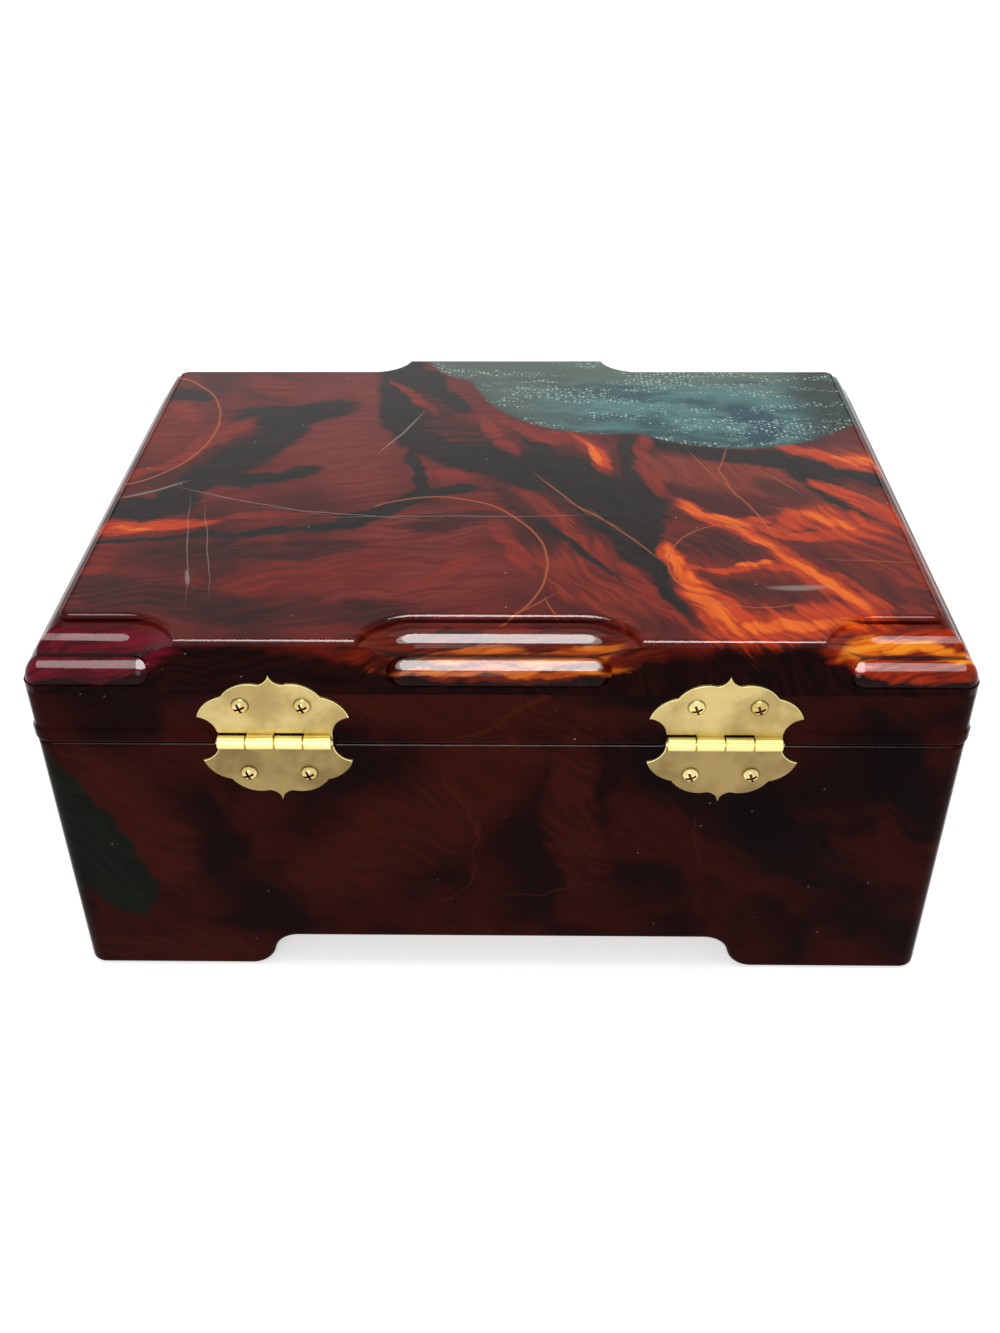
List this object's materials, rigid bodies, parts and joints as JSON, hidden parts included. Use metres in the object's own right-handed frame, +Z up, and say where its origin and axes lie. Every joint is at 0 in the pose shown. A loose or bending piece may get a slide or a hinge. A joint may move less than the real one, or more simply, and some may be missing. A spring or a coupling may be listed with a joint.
{
  "type": "trinket box",
  "caption": "Rectangular lacquered wooden trinket box on bracket feet, with a hinged lid carved in a double-bead edge, brass butterfly hinges and velvet lining.",
  "frame": {"origin": "on the floor below the middle of the overall outline, hinge barrels included", "axes": "+X along the width to the right as seen from the front, +Y to the hinged back, +Z up"},
  "size_m": [0.251, 0.1844, 0.1192],
  "materials": {
    "lacquered_wood": "high-gloss lacquered burl",
    "plain_wood": "plain board",
    "brass": "satin brass",
    "velvet": "velvet"
  },
  "bodies": {
    "box": {"front_wall": "lacquered_wood", "back_wall": "lacquered_wood", "left_wall": "lacquered_wood", "right_wall": "lacquered_wood", "floor_board": "plain_wood", "floor_pad": "velvet", "front_lining": "velvet", "back_lining": "velvet", "left_lining": "velvet", "right_lining": "velvet", "left_hinge_body_leaf": "brass", "left_hinge_pin": "brass", "left_hinge_body_screws": "brass", "right_hinge_body_leaf": "brass", "right_hinge_pin": "brass", "right_hinge_body_screws": "brass"},
    "lid": {"lid_board": "lacquered_wood", "lid_pad": "velvet", "lid_front_rail": "lacquered_wood", "lid_back_rail": "lacquered_wood", "lid_left_rail": "lacquered_wood", "lid_right_rail": "lacquered_wood", "lid_front_lining": "velvet", "lid_back_lining": "velvet", "lid_left_lining": "velvet", "lid_right_lining": "velvet", "left_hinge_lid_leaf": "brass", "left_hinge_lid_screws": "brass", "right_hinge_lid_leaf": "brass", "right_hinge_lid_screws": "brass"}
  },
  "joints": [
    {"name": "lid_hinge", "type": "hinge", "parent": "box", "child": "lid", "pos_m": [0, 0.09025, 0.0878], "axis": [-1, 0, 0], "range_deg": [0, 170]}
  ]
}
